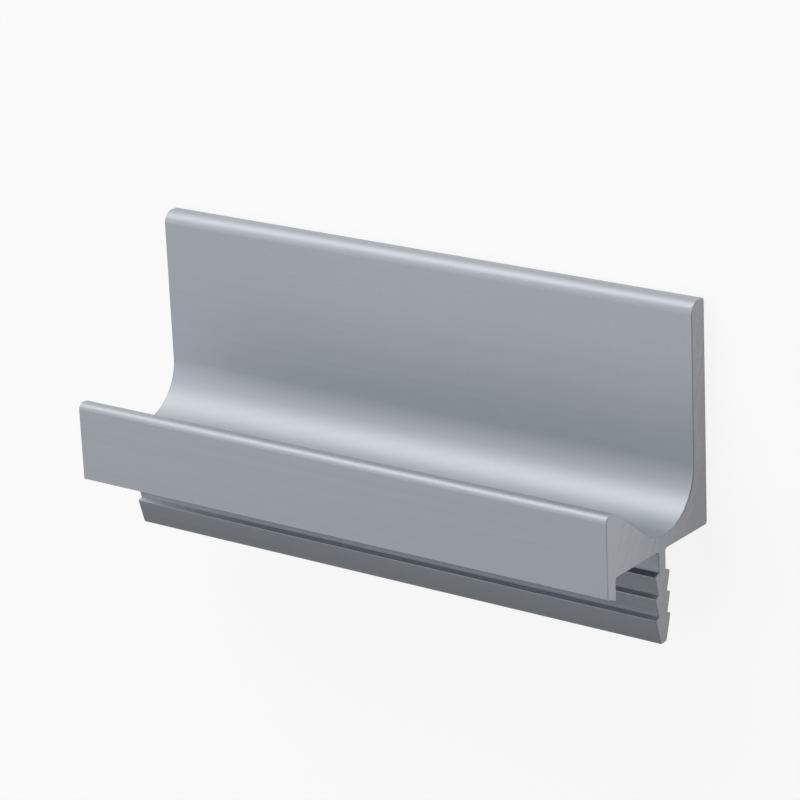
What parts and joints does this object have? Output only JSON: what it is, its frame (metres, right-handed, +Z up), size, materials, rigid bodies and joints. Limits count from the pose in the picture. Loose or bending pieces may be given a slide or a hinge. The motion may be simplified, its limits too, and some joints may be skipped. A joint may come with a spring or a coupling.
{
  "type": "aluminium edge-grip extrusion profile",
  "caption": "Cut length of satin aluminium extrusion with a front lip, finger trough, tall back leaf and barbed tongue, pressed onto a cabinet panel's edge as a grip.",
  "frame": {"origin": "middle of the length and of the height, on the floor plane under the back of the leaf", "axes": "+X along the extrusion, +Y from the tongue to the top of the leaf, +Z up from the back of the leaf to the front of the lip"},
  "size_m": [0.076, 0.0382, 0.0206],
  "materials": {
    "anodised_aluminium": "satin clear anodised, with fine die lines along the length and plain sawn ends"
  },
  "bodies": {
    "root": {"grip_profile": "anodised_aluminium"}
  },
  "joints": []
}
